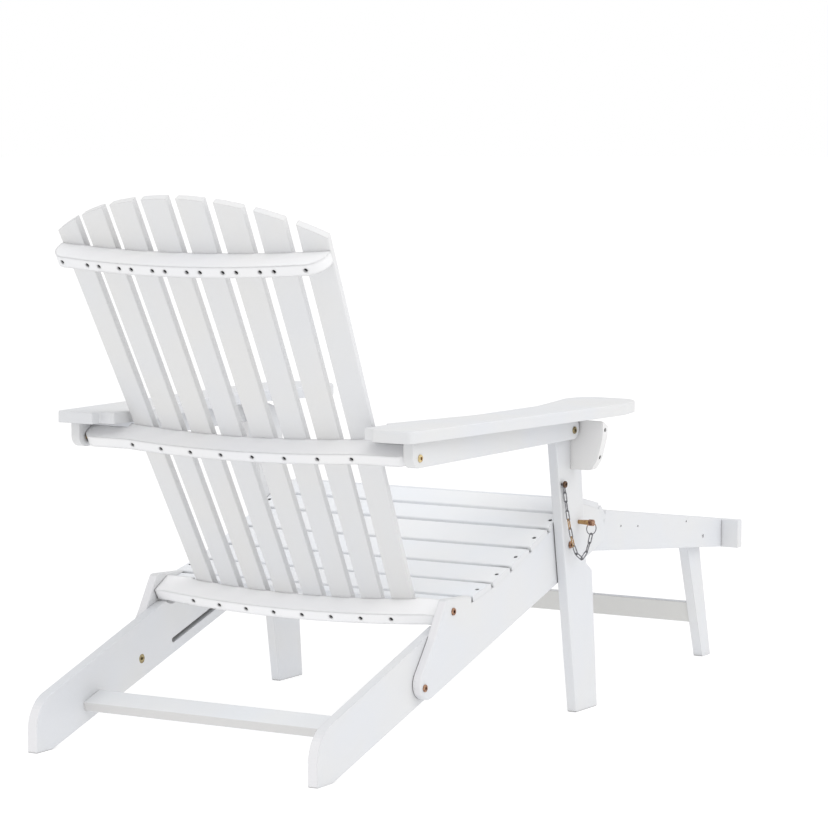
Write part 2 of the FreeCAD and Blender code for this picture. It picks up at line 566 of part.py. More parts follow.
# Chains, each hanging from its anchor and up again to the ring of its pin
chain_start = side(*CHAIN_ANCHOR, FRONT_OUT + CHAIN_OUT).add(V(0, 0, NECK_R))
chain_end = ring_centre.sub(V(0, 0, RING_R - RING_WIRE))
shallow, deep = SAG_LEAST, SAG_MOST
for _ in range(30):
    sag = (shallow + deep) / 2
    if len(hanging_joints(chain_start, chain_end, sag)) > LINKS:
        deep = sag
    else:
        shallow = sag
joints = hanging_joints(chain_start, chain_end, deep)[:LINKS] + [chain_end]
ways = [unit(b.sub(a)) for a, b in zip(joints, joints[1:])]
links = []
for i, way in enumerate(ways):
    facing = unit(X_AXIS.sub(way * X_AXIS.dot(way)))
    reach = LINK_WIRE + LINK_PLAY
    reach_start = reach / math.cos(ways[max(i - 1, 0)].getAngle(way) / 2)
    reach_end = reach / math.cos(ways[min(i + 1, LINKS - 1)].getAngle(way) / 2)
    normal = way.cross(facing) if i % 2 else facing
    links.append(link(joints[i], joints[i + 1], normal, reach_start, reach_end))
pair("lock_chain", Part.makeCompound(links))

# Footrest axle, which slides and turns in the grooves
axle_at = (GROOVE_FRONT, groove(GROOVE_FRONT))
axle_end = REAR_LEG_IN + GROOVE_DEEP - 0.5
parts["footrest_axle"] = rod(side(*axle_at, -axle_end), side(*axle_at, axle_end), AXLE_R)

# Footrest slats, their ends let into the rails
rear, fore = side(*FOOT_REAR), side(*FOOT_FRONT)
along = unit(fore.sub(rear))
up = V(0, along.z, -along.y)
pitch = rear.distanceToPoint(fore) / FOOT_SLATS
housings = []
for i in range(FOOT_SLATS):
    start = rear.add(along * (pitch * i + SEAT_GAP / 2))
    end = rear.add(along * (pitch * (i + 1) - SEAT_GAP / 2))
    housings.append(cross_blank(start, end, up, FOOT_LEG_OUT + HOUSED))
    parts["footrest_slat_%d" % (i + 1)] = cross_board(start, end, up, FOOT_LEG_OUT + HOUSED)

# Footrest legs, each held by a screw from outside and one from inside, and the stretcher between them
short = BOARD / 4
leg_runs = [(FOOT_SCREW_FROM_OUT, FOOT_LEG_IN + short, FOOTREST_OUT),
            (FOOT_SCREW_FROM_IN, FOOTREST_OUT - short, FOOT_LEG_IN)]
foot_screws = []
leg_holes = []
for spot, tip_x, head_x in leg_runs:
    tip, head = side(*spot, tip_x), side(*spot, head_x)
    foot_screws.append(screw(tip, head, SLAT_SINK))
    leg_holes.append(screw_hole(tip, head, SLAT_SINK))
stretcher_ring = []
for across, rise in ((0.5, -0.5), (0.5, 0.5), (-0.5, 0.5), (-0.5, -0.5)):
    lift = rise * STRETCHER_HIGH
    stretcher_ring.append((STRETCHER_Y + across * BOARD + lift * STRETCHER_LEAN, STRETCHER_Z + lift, EDGE))
stretcher = board(stretcher_ring, -FOOT_LEG_IN - HOUSED, FOOT_LEG_IN + HOUSED)
parts["footrest_stretcher"] = stretcher
foot_leg = board(FOOT_LEG, FOOT_LEG_IN, FOOT_LEG_OUT)
pair("footrest_leg", foot_leg.cut(leg_holes + [stretcher]))

# Board across the front of the footrest, wider than its rails
front_y = FOOT_FRONT[0]
front_top = FOOT_FRONT[1] + SEAT_SLAT / up.z
front_board = board([(front_y, FRONT_BOARD_LOW, 0.0), (front_y, front_top, EDGE),
                     (front_y - BOARD, front_top, 5.0), (front_y - BOARD, FRONT_BOARD_LOW, TOP_EDGE)],
                    -FRONT_BOARD_HALF, FRONT_BOARD_HALF)
front_holes = []
for z in FRONT_SCREW_Z:
    tip = side(front_y + 1.2 * BOARD, z, FOOTREST_OUT - BOARD / 2)
    head = side(front_y - BOARD, z, FOOTREST_OUT - BOARD / 2)
    foot_screws.append(screw(tip, head, SLAT_SINK))
    front_holes.append(screw_hole(tip, head, SLAT_SINK))
parts["footrest_front_board"] = front_board.cut(both(front_holes))
parts["footrest_screws"] = Part.makeCompound(both(foot_screws))

# Footrest rails, with the arms that reach back to the axle
rear_top = rear.add(up * SEAT_SLAT)
foot_ring = [(front_y, front_top, 0.0), (rear_top.y + Y_MID, rear_top.z, 6.0), FOOT_STEP,
             (FOOT_HEEL, axle_at[1] + HEEL_HALF, HEEL_ROUND),
             (FOOT_HEEL, axle_at[1] - HEEL_HALF, HEEL_ROUND),
             FOOT_BEND + (60.0,), (front_y, FOOT_UNDER_Z, 0.0)]
foot_rail = board(foot_ring, FOOT_LEG_OUT, FOOTREST_OUT)
foot_rail = eased(foot_rail, EDGE, lambda e: on_x(e, FOOTREST_OUT) and e.CenterOfMass.z < FOOT_BEND[1] - 1)
axle_bore = rod(side(*axle_at, FOOT_LEG_OUT - 1), side(*axle_at, FOOTREST_OUT + 1), AXLE_R + HOLE_PLAY)
marks = []
for y, z in FOOT_MARKS:
    marks.append(rod(side(y, z, FOOTREST_OUT - BOARD / 3), side(y, z, FOOTREST_OUT + 1), SCREW_R))
pair("footrest_rail", foot_rail.cut([axle_bore] + housings + leg_holes + front_holes + marks))

os.makedirs("parts", exist_ok=True)
for name, shape in parts.items():
    shape.exportStep("parts/%s.step" % name)
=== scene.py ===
import logging
import math
from dataclasses import dataclass, field, replace
from enum import Enum
from typing import Iterable, Optional, Sequence

import bmesh
import bpy
from mathutils import Euler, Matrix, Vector


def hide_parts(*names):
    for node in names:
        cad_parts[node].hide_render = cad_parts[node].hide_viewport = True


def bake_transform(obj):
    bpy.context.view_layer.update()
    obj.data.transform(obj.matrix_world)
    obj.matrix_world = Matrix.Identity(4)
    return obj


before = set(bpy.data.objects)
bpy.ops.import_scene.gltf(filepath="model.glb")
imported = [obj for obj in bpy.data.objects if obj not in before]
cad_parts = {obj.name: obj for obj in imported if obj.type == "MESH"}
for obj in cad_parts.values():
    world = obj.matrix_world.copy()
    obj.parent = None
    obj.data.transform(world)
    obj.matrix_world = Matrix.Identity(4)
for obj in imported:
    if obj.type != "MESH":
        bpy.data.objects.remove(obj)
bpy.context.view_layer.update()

MM = 0.001
Span = tuple[float, float]
Colour = tuple[float, float, float, float]
RISING: Span = (0.0, 1.0)
FALLING: Span = (1.0, 0.0)
PATTERN_SPAN: Span = (0.3, 0.7)
NO_TURN = (0.0, 0.0, 0.0)
log = logging.getLogger("lounger")


class Side(Enum):
    """Side of the chair, as the sign of x on which it lies."""

    LEFT = 1
    RIGHT = -1

    @property
    def word(self) -> str:
        """Lower-case word used at the end of a piece's name."""
        return self.name.lower()

    def point(self, x: float, y: float, z: float) -> Vector:
        """Point in metres from millimetres given for the left side."""
        return Vector((self.value * x, y, z)) * MM


class Grain(Enum):
    """Turn in degrees that carries the y axis onto the length of a board."""

    ACROSS = (0.0, 0.0, -90.0)
    ALONG_ARM = (0.0, 0.0, 0.0)
    DOWN_SEAT = (-17.6, 0.0, 0.0)
    UP_BACK = (61.4, 0.0, 0.0)
    UP_FRONT_LEG = (79.1, 0.0, 0.0)
    UPRIGHT = (90.0, 0.0, 0.0)
    DOWN_FOOTREST = (8.2, 0.0, 0.0)
    UP_FOOTREST_LEG = (76.1, 0.0, 0.0)

    def turn(self) -> tuple[float, ...]:
        """The turn in radians."""
        return tuple(math.radians(angle) for angle in self.value)


class Axis(Enum):
    """Way along which a fitting changes from one metal to another."""

    OUT = "X"
    REARWARD = "Y"
    UP = "Z"


@dataclass(frozen=True)
class Pattern:
    """Cloudy pattern with the size of one unit across, along and through a board, in metres."""

    size: tuple[float, float, float]
    detail: float = 2.0
    rough: float = 0.5


@dataclass(frozen=True)
class Relief:
    """Relief that a pattern gives to a surface: its weight, and the height of one unit in metres."""

    strength: float
    depth: float


class Wiring:
    """Node tree of one finish, with short ways to add and join its nodes."""

    RAYS = 6
    FACING_SPAN: Span = (0.6, 0.85)
    EDGE_SPAN: Span = (0.80, 0.985)
    RANGE_SOCKETS = slice(1, 5)
    MIX_FACTOR, MIX_FIRST, MIX_SECOND = 0, 6, 7
    MIX_RESULT = 2

    def __init__(self, name: str) -> None:
        """Start a material that holds only its shader and output.

        Args:
            name: Name of the material.
        """
        self.material = bpy.data.materials.new(name)
        self.material.use_nodes = True
        self.tree = self.material.node_tree
        self.shader = self.tree.nodes["Principled BSDF"]

    def add(self, kind: str, **settings: object) -> bpy.types.Node:
        """Add a node and set its own options.

        Args:
            kind: Blender's name of the node type.
            **settings: Options of the node.

        Returns:
            The new node.
        """
        node = self.tree.nodes.new(kind)
        for option, value in settings.items():
            setattr(node, option, value)
        return node

    def feed(self, target: bpy.types.NodeSocket, source: object) -> None:
        """Join a socket to another one, or set it to a constant.

        Args:
            target: Input socket.
            source: Output socket, number, colour or vector.
        """
        if isinstance(source, bpy.types.NodeSocket):
            self.tree.links.new(source, target)
        else:
            target.default_value = source

    def pattern(self, pattern: Pattern, turn: Sequence[float] = NO_TURN) -> bpy.types.NodeSocket:
        """Pattern on the board itself, turned to its grain and shifted differently on each board.

        Args:
            pattern: The pattern.
            turn: Turn that carries y onto the grain, in radians.

        Returns:
            Socket with values around one half.
        """
        spot = self.add("ShaderNodeTexCoord").outputs["Object"]
        board = self.add("ShaderNodeObjectInfo").outputs["Random"]
        shift = self.add("ShaderNodeVectorMath", operation="ADD")
        self.feed(shift.inputs[0], spot)
        self.feed(shift.inputs[1], board)
        mapping = self.add("ShaderNodeMapping", vector_type="TEXTURE")
        self.feed(mapping.inputs["Vector"], shift.outputs[0])
        self.feed(mapping.inputs["Rotation"], tuple(turn))
        self.feed(mapping.inputs["Scale"], pattern.size)
        node = self.add("ShaderNodeTexNoise")
        self.feed(node.inputs["Vector"], mapping.outputs[0])
        self.feed(node.inputs["Scale"], 1.0)
        self.feed(node.inputs["Detail"], pattern.detail)
        self.feed(node.inputs["Roughness"], pattern.rough)
        return node.outputs[0]

    def between(self, value: bpy.types.NodeSocket, source: Span, target: Span) -> bpy.types.NodeSocket:
        """Carry one range of values onto another, cut off at its ends.

        Args:
            value: Socket with the value.
            source: Lowest and highest value that count.
            target: Values that these become.

        Returns:
            Socket with the new value.
        """
        node = self.add("ShaderNodeMapRange")
        for socket, number in zip(list(node.inputs)[self.RANGE_SOCKETS], (*source, *target)):
            self.feed(socket, number)
        self.feed(node.inputs[0], value)
        return node.outputs[0]

    def tint(self, factor: bpy.types.NodeSocket, first: object, second: object) -> bpy.types.NodeSocket:
        """Mix of two colours.

        Args:
            factor: Share of the second colour.
            first: Colour or colour socket.
            second: Colour or colour socket.

        Returns:
            Colour socket.
        """
        node = self.add("ShaderNodeMix", data_type="RGBA")
        self.feed(node.inputs[self.MIX_FACTOR], factor)
        self.feed(node.inputs[self.MIX_FIRST], first)
        self.feed(node.inputs[self.MIX_SECOND], second)
        return node.outputs[self.MIX_RESULT]

    def times(self, first: bpy.types.NodeSocket, second: object) -> bpy.types.NodeSocket:
        """Product of a socket and another one or a number.

        Args:
            first: Socket with a number.
            second: Socket or number.

        Returns:
            Socket with the product.
        """
        node = self.add("ShaderNodeMath", operation="MULTIPLY")
        self.feed(node.inputs[0], first)
        self.feed(node.inputs[1], second)
        return node.outputs[0]

    def size(self, value: bpy.types.NodeSocket) -> bpy.types.NodeSocket:
        """Value without its sign.

        Args:
            value: Socket with a number.

        Returns:
            Socket with the number's size.
        """
        node = self.add("ShaderNodeMath", operation="ABSOLUTE")
        self.feed(node.inputs[0], value)
        return node.outputs[0]

    def along(self, vector: bpy.types.NodeSocket, axis: Axis) -> bpy.types.NodeSocket:
        """Part of a vector along one axis, counted outwards from the middle for x.

        Args:
            vector: Vector socket.
            axis: The axis.

        Returns:
            Socket with the number.
        """
        node = self.add("ShaderNodeSeparateXYZ")
        self.feed(node.inputs[0], vector)
        value = node.outputs[axis.value]
        return self.size(value) if axis is Axis.OUT else value

    def facing(self, axis: Axis) -> bpy.types.NodeSocket:
        """Mask that is one on faces that look along an axis, for x to either side."""
        flat = self.add("ShaderNodeNewGeometry").outputs["True Normal"]
        return self.between(self.along(flat, axis), self.FACING_SPAN, RISING)

    def softened(self, radius: float) -> bpy.types.NodeSocket:
        """Normal that rounds every sharp edge a little.

        Args:
            radius: Radius of the rounding, in metres.

        Returns:
            Normal socket.
        """
        node = self.add("ShaderNodeBevel", samples=self.RAYS)
        self.feed(node.inputs["Radius"], radius)
        return node.outputs[0]

    def edge(self, soft: bpy.types.NodeSocket) -> bpy.types.NodeSocket:
        """Mask that is one on sharp edges and nought on flat faces.

        Args:
            soft: Normal from softened.

        Returns:
            Mask socket.
        """
        flat = self.add("ShaderNodeNewGeometry").outputs["True Normal"]
        node = self.add("ShaderNodeVectorMath", operation="DOT_PRODUCT")
        self.feed(node.inputs[0], soft)
        self.feed(node.inputs[1], flat)
        return self.between(node.outputs["Value"], self.EDGE_SPAN, FALLING)

    def corner(self, reach: float, openness: Span) -> bpy.types.NodeSocket:
        """Mask that is one in corners between pieces and nought on open faces.

        Args:
            reach: How far from the corner other pieces count, in metres.
            openness: Shares of open surroundings at which the mask is one and nought.

        Returns:
            Mask socket.
        """
        node = self.add("ShaderNodeAmbientOcclusion", samples=self.RAYS)
        self.feed(node.inputs["Distance"], reach)
        return self.between(node.outputs["AO"], openness, FALLING)

    def bump(self, height: bpy.types.NodeSocket, relief: Relief,
             normal: Optional[bpy.types.NodeSocket] = None) -> bpy.types.NodeSocket:
        """Relief that a height pattern gives to the surface.

        Args:
            height: Socket with the height.
            relief: Weight and depth of the relief.
            normal: Normal to start from.

        Returns:
            Normal socket.
        """
        node = self.add("ShaderNodeBump")
        self.feed(node.inputs["Strength"], relief.strength)
        self.feed(node.inputs["Distance"], relief.depth)
        self.feed(node.inputs["Height"], height)
        if normal is not None:
            self.feed(node.inputs["Normal"], normal)
        return node.outputs[0]

    def finish(self, **sockets: object) -> bpy.types.Material:
        """Set the shader's sockets.

        Args:
            **sockets: Values or sockets, by the shader's names with underscores for spaces.

        Returns:
            The finished material.
        """
        for name, source in sockets.items():
            self.feed(self.shader.inputs[name.replace("_", " ")], source)
        return self.material


@dataclass(frozen=True)
class WhitePaint:
    """Satin white paint, brushed on softwood boards whose grain shows through it, with painted shade in
    corners, cracks and gaps, and painted light and shade on end and rear faces.
    """

    name: str = "white_paint_"
    cool: Colour = (0.708, 0.722, 0.752, 1.0)
    warm: Colour = (0.726, 0.728, 0.732, 1.0)
    shade: Colour = (0.42, 0.42, 0.42, 1.0)
    # Nearly black tone of the painted shade in cracks, grooves, holes and narrow gaps, with grime in
    # the joints.
    crack_grime_and_shade: Colour = (0.07, 0.065, 0.06, 1.0)
    thin: Colour = (0.62, 0.59, 0.54, 1.0)
    # Tone of the painted shade on the side faces of slats in narrow gaps.
    gap: Colour = (0.22, 0.22, 0.23, 1.0)
    # Darker tone on faces that look to either side: painted shade on the slat ends, against tops
    # painted lighter.
    ends: Optional[Colour] = None
    # Tone on faces that look rearward: painted light where it is lighter than the paint, painted shade
    # where it is darker.
    rear: Optional[Colour] = None
    cloud: Pattern = Pattern((0.16, 0.16, 0.16))
    cloud_span: Span = (0.35, 0.65)
    fibre: Pattern = Pattern((0.0045, 0.11, 0.0045), 4.0, 0.6)
    fibre_relief: Relief = Relief(0.16, 0.0006)
    line_span: Span = (0.30, 0.46)
    line_share: float = 0.16
    stroke: Pattern = Pattern((0.0012, 0.06, 0.0012))
    stroke_relief: Relief = Relief(0.10, 0.0002)
    soft_edge: float = 0.0012
    worn_span: Span = (0.45, 0.62)
    wear: float = 0.30
    corner_reach: float = 0.026
    corner_openness: Span = (0.25, 0.95)
    corner_share: float = 0.14
    crack_reach: float = 0.014
    crack_openness: Span = (0.14, 0.46)
    crack_share: float = 0.88
    gap_reach: float = 0.030
    gap_openness: Span = (0.35, 0.85)
    gap_share: float = 0.0
    rough: Span = (0.36, 0.52)
    gloss: float = 0.4

    def on(self, grain: Grain) -> bpy.types.Material:
        """Make the paint for boards whose grain runs in one direction.

        Args:
            grain: Direction of the grain.

        Returns:
            The material.
        """
        wire = Wiring(self.name + grain.name.lower())
        turn = grain.turn()
        cloud = wire.pattern(self.cloud, turn)
        fibre = wire.pattern(self.fibre, turn)
        stroke = wire.pattern(self.stroke, turn)
        soft = wire.softened(self.soft_edge)
        coat = wire.tint(wire.between(cloud, self.cloud_span, RISING), self.cool, self.warm)
        lines = wire.between(fibre, self.line_span, (self.line_share, 0.0))
        coat = wire.tint(lines, coat, self.warm)
        worn = wire.times(wire.edge(soft), wire.between(fibre, self.worn_span, (0.0, self.wear)))
        coat = wire.tint(worn, coat, self.thin)
        if self.corner_share > 0.0:
            corner = wire.corner(self.corner_reach, self.corner_openness)
            coat = wire.tint(wire.times(corner, self.corner_share), coat, self.shade)
        # Painted shade on faces that look to either side.
        if self.ends is not None:
            coat = wire.tint(wire.facing(Axis.OUT), coat, self.ends)
        # Painted light on rearward faces in the lighter copies of the paint, painted shade in the
        # darker ones.
        if self.rear is not None:
            coat = wire.tint(wire.facing(Axis.REARWARD), coat, self.rear)
        # Painted shade on faces that look to either side where a neighbouring slat closes them in.
        if self.gap_share > 0.0:
            hidden = wire.times(wire.facing(Axis.OUT), wire.corner(self.gap_reach, self.gap_openness))
            coat = wire.tint(wire.times(hidden, self.gap_share), coat, self.gap)
        # Painted shade in cracks, grooves, holes and narrow gaps, with grime in the joints, from a
        # short-reach occlusion mask.
        crack = wire.corner(self.crack_reach, self.crack_openness)
        coat = wire.tint(wire.times(crack, self.crack_share), coat, self.crack_grime_and_shade)
        grained = wire.bump(fibre, self.fibre_relief, soft)
        return wire.finish(
            Base_Color=coat,
            Roughness=wire.between(stroke, PATTERN_SPAN, self.rough),
            Normal=wire.bump(stroke, self.stroke_relief, grained),
            Specular_IOR_Level=self.gloss,
        )


@dataclass(frozen=True)
class PlatedMetal:
    """Plated or solid metal of small fittings, spotted and rubbed."""

    name: str
    bright: Colour
    dull: Colour
    spots: Pattern = Pattern((0.004, 0.004, 0.004), 3.0, 0.6)
    spot_span: Span = (0.38, 0.66)
    rub: Pattern = Pattern((0.0006, 0.0025, 0.0006))
    rub_relief: Relief = Relief(0.12, 0.0002)
    rough: Span = (0.25, 0.5)
    soft_edge: float = 0.0003
    cut_blur: float = 0.0001

    def coat(self, wire: Wiring) -> bpy.types.NodeSocket:
        """Spotted colour of the metal.

        Args:
            wire: Wiring to add to.

        Returns:
            Colour socket.
        """
        spots = wire.pattern(self.spots)
        return wire.tint(wire.between(spots, self.spot_span, RISING), self.bright, self.dull)

    def finished(self, wire: Wiring, coat: bpy.types.NodeSocket) -> bpy.types.Material:
        """Close a metal with its gloss and fine scratches.

        Args:
            wire: Wiring to add to.
            coat: Colour socket.

        Returns:
            The material.
        """
        rub = wire.pattern(self.rub)
        return wire.finish(
            Base_Color=coat,
            Metallic=1.0,
            Roughness=wire.between(rub, PATTERN_SPAN, self.rough),
            Normal=wire.bump(rub, self.rub_relief, wire.softened(self.soft_edge)),
        )

    def plain(self) -> bpy.types.Material:
        """The metal all over a piece."""
        wire = Wiring(self.name)
        return self.finished(wire, self.coat(wire))

    def parted(self, *cuts: tuple[Axis, float, "PlatedMetal"]) -> bpy.types.Material:
        """The metal, with another one on the near side of each cut.

        Args:
            *cuts: Axis, place in metres and the metal that comes before that place.

        Returns:
            The material.
        """
        wire = Wiring("_".join([self.name] + [other.name for _, _, other in cuts]))
        spot = wire.add("ShaderNodeTexCoord").outputs["Object"]
        coat = self.coat(wire)
        for axis, limit, other in cuts:
            before = wire.between(wire.along(spot, axis), (limit - self.cut_blur, limit), FALLING)
            coat = wire.tint(before, coat, other.coat(wire))
        return self.finished(wire, coat)

    def by_link(self, other: "PlatedMetal") -> bpy.types.Material:
        """The metal on most chain links, and another one on those marked as such.

        Args:
            other: Metal of the marked links.

        Returns:
            The material.
        """
        wire = Wiring(self.name + "_links")
        mark = wire.add("ShaderNodeAttribute", attribute_name=LockChain.MARK).outputs["Fac"]
        return self.finished(wire, wire.tint(mark, self.coat(wire), other.coat(wire)))


@dataclass(frozen=True)
class BareWood:
    """Unpainted round hardwood bar."""

    pale: Colour = (0.56, 0.40, 0.24, 1.0)
    dark: Colour = (0.33, 0.20, 0.10, 1.0)
    fibre: Pattern = Pattern((0.002, 0.06, 0.002), 5.0, 0.65)
    fibre_relief: Relief = Relief(0.25, 0.0004)
    rough: Span = (0.65, 0.45)

    def on(self, grain: Grain) -> bpy.types.Material:
        """Make the wood with its grain in one direction.

        Args:
            grain: Direction of the grain.

        Returns:
            The material.
        """
        wire = Wiring("bare_hardwood")
        fibre = wire.pattern(self.fibre, grain.turn())
        return wire.finish(
            Base_Color=wire.tint(wire.between(fibre, PATTERN_SPAN, RISING), self.dark, self.pale),
            Roughness=wire.between(fibre, PATTERN_SPAN, self.rough),
            Normal=wire.bump(fibre, self.fibre_relief),
        )


@dataclass
class Finishes:
    """All finishes of the chair, each made once, with lighter and darker copies of the white paint as
    painted light and shade on some parts.
    """

    paint: WhitePaint = WhitePaint()
    wood: BareWood = BareWood()
    zinc: PlatedMetal = PlatedMetal("yellow_zinc", (0.76, 0.62, 0.32, 1.0), (0.46, 0.28, 0.15, 1.0))
    olive: PlatedMetal = PlatedMetal("olive_zinc", (0.44, 0.37, 0.20, 1.0), (0.20, 0.15, 0.08, 1.0))
    brown: PlatedMetal = PlatedMetal("brown_zinc", (0.48, 0.28, 0.17, 1.0), (0.20, 0.10, 0.07, 1.0))
    # Copper of the chain anchor, darkened all over as painted shade of its deep socket.
    copper: PlatedMetal = PlatedMetal("dark_copper", (0.20, 0.11, 0.06, 1.0), (0.05, 0.035, 0.03, 1.0))
    steel: PlatedMetal = PlatedMetal(
        "dark_screw_steel", (0.10, 0.10, 0.11, 1.0), (0.05, 0.045, 0.04, 1.0))
    brass: PlatedMetal = PlatedMetal("pin_brass", (0.56, 0.37, 0.17, 1.0), (0.34, 0.18, 0.09, 1.0))
    nickel: PlatedMetal = PlatedMetal("chain_steel", (0.30, 0.30, 0.32, 1.0), (0.15, 0.15, 0.16, 1.0))
    # Lighter copy for the seat slats: painted light on their tops, painted shade on their ends.
    seat_paint: WhitePaint = WhitePaint(
        name="seat_white_paint_", cool=(0.845, 0.866, 0.900, 1.0), warm=(0.864, 0.872, 0.886, 1.0),
        ends=(0.716, 0.724, 0.742, 1.0))
    # Lighter copy for the braces: painted light on their rear faces and tops, with weaker painted shade
    # in the cracks.
    brace_paint: WhitePaint = WhitePaint(
        name="brace_white_paint_", cool=(0.846, 0.850, 0.870, 1.0), warm=(0.860, 0.859, 0.864, 1.0),
        soft_edge=0.007, wear=0.05, corner_share=0.0, crack_share=0.5)
    # Lighter copy for the bottom rail of the back: painted light on its rear faces.
    rail_paint: WhitePaint = WhitePaint(
        name="rail_white_paint_", cool=(0.926, 0.930, 0.948, 1.0), warm=(0.938, 0.936, 0.942, 1.0),
        soft_edge=0.007, wear=0.05)
    # Painted light on the rearward faces of the seat rails and rear legs.
    sloping_paint: WhitePaint = WhitePaint(
        name="sloping_white_paint_", rear=(0.800, 0.797, 0.815, 1.0))
    # Painted shade on the rearward faces of the footrest stretcher.
    stretcher_paint: WhitePaint = WhitePaint(
        name="stretcher_white_paint_", rear=(0.655, 0.652, 0.636, 1.0))
    # Painted light on the bar's top, painted shade on its rearward faces and stronger painted shade in
    # its corners.
    bar_paint: WhitePaint = WhitePaint(
        name="bar_white_paint_", cool=(0.764, 0.784, 0.812, 1.0), warm=(0.780, 0.788, 0.796, 1.0),
        rear=(0.682, 0.676, 0.672, 1.0), corner_reach=0.040, corner_share=0.30)
    # Lighter copy for the arm brackets: painted light.
    bracket_paint: WhitePaint = WhitePaint(
        name="bracket_white_paint_", cool=(0.780, 0.778, 0.784, 1.0), warm=(0.790, 0.784, 0.776, 1.0))
    # Lighter copy for the back slats: painted light.
    slat_paint: WhitePaint = WhitePaint(
        name="slat_white_paint_", cool=(0.745, 0.752, 0.768, 1.0), warm=(0.757, 0.755, 0.752, 1.0))
    made: dict[Grain, bpy.types.Material] = field(default_factory=dict)
    screws: bpy.types.Material = field(init=False)

    def __post_init__(self) -> None:
        """Make the finish that all dark screws share."""
        self.screws = self.steel.plain()

    def painted(self, grain: Grain) -> bpy.types.Material:
        """The usual paint on boards of one grain, made once.

        Args:
            grain: Direction of the grain.

        Returns:
            The material.
        """
        if grain not in self.made:
            self.made[grain] = self.paint.on(grain)
        return self.made[grain]


class SubAssembly:
    """Group of pieces of the frame that are dressed together."""

    def dress_nodes(self, names: Iterable[str], material: bpy.types.Material) -> None:
        """Give pieces of the frame a finish.

        Args:
            names: Names of the pieces.
            material: Their finish.
        """
        for name in names:
            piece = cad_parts[name]
            for slot in piece.material_slots:
                slot.material = material
            log.info("%s: %s", name, material.name)

    def dress(self, finishes: Finishes) -> None:
        """Give every piece of the group its finish."""
        raise NotImplementedError


@dataclass
class SeatFrame(SubAssembly):
    """Rails, rear legs, bar, seat slats and their fixings."""

    slats: int = 9
    nuts_within: float = 290.0 * MM

    def dress(self, finishes: Finishes) -> None:
        """Paint the boards and plate the fixings.

        Args:
            finishes: All finishes.
        """
        sloping = [board + side.word for side in Side for board in ("seat_rail_", "rear_leg_")]
        self.dress_nodes(sloping, finishes.sloping_paint.on(Grain.DOWN_SEAT))
        slats = [f"seat_slat_{i + 1}" for i in range(self.slats)]
        self.dress_nodes(slats, finishes.seat_paint.on(Grain.ACROSS))
        self.dress_nodes(["rear_cross_bar"], finishes.bar_paint.on(Grain.ACROSS))
        self.dress_nodes(["seat_screws"], finishes.screws)
        bolts = finishes.brown.parted((Axis.OUT, self.nuts_within, finishes.olive))
        self.dress_nodes(["frame_bolts"], bolts)


@dataclass
class Back(SubAssembly):
    """Fan of slats on three braces."""

    # Strength of the painted shade in the gap beside each slat, from slat 1 to slat 8.
    gap_shares: tuple[float, ...] = (0.0, 0.15, 0.28, 0.42, 0.55, 0.68, 0.78, 0.85)
    braces: tuple[str, ...] = ("top_brace", "mid_brace")

    def dress(self, finishes: Finishes) -> None:
        """Paint the slats, each with its own strength of painted shade on its side faces in the gap
        beside it, and the braces; slats and braces get lighter copies of the paint as painted light.

        Args:
            finishes: All finishes.
        """
        for number, share in enumerate(self.gap_shares, start=1):
            paint = replace(finishes.slat_paint, name=f"slat_{number}_white_paint_", gap_share=share)
            self.dress_nodes([f"back_slat_{number}"], paint.on(Grain.UP_BACK))
        self.dress_nodes(self.braces, finishes.brace_paint.on(Grain.ACROSS))
        self.dress_nodes(["back_bottom_rail"], finishes.rail_paint.on(Grain.ACROSS))
        self.dress_nodes(["back_screws"], finishes.screws)


@dataclass
class FrontLeg(SubAssembly):
    """Front leg of one side with the bracket under the arm."""

    side: Side
    anchor_below: float = 430.0 * MM

    def dress(self, finishes: Finishes) -> None:
        """Paint the boards; the chain's anchor is copper, darkened all over as painted shade of its
        deep socket, and the bracket's screws are dark.

        Args:
            finishes: All finishes.
        """
        word = self.side.word
        self.dress_nodes(["front_leg_" + word], finishes.painted(Grain.UP_FRONT_LEG))
        self.dress_nodes(["arm_bracket_" + word], finishes.bracket_paint.on(Grain.UPRIGHT))
        screws = finishes.steel.parted((Axis.UP, self.anchor_below, finishes.copper))
        self.dress_nodes(["front_leg_screws_" + word], screws)


@dataclass
class Arm(SubAssembly):
    """Broad arm board of one side and the rail below it."""

    side: Side
    front_bolt_before: float = 200.0 * MM

    def dress(self, finishes: Finishes) -> None:
        """Paint the boards and plate the bolts.

        Args:
            finishes: All finishes.
        """
        boards = [name + self.side.word for name in ("arm_", "arm_rail_")]
        self.dress_nodes(boards, finishes.painted(Grain.ALONG_ARM))
        bolts = finishes.zinc.parted((Axis.REARWARD, self.front_bolt_before, finishes.olive))
        self.dress_nodes(["arm_fixings_" + self.side.word], bolts)


@dataclass
class LockPin(SubAssembly):
    """Tapered pin of one side with the ring in its knob."""

    side: Side
    knob_from: float = 342.1 * MM
    ring_below: float = 332.2 * MM

    def dress(self, finishes: Finishes) -> None:
        """Make the pin brass, its knob brown and its ring steel.

        Args:
            finishes: All finishes.
        """
        metal = finishes.brown.parted((Axis.OUT, self.knob_from, finishes.brass),
                                      (Axis.UP, self.ring_below, finishes.nickel))
        self.dress_nodes(["lock_pin_" + self.side.word], metal)


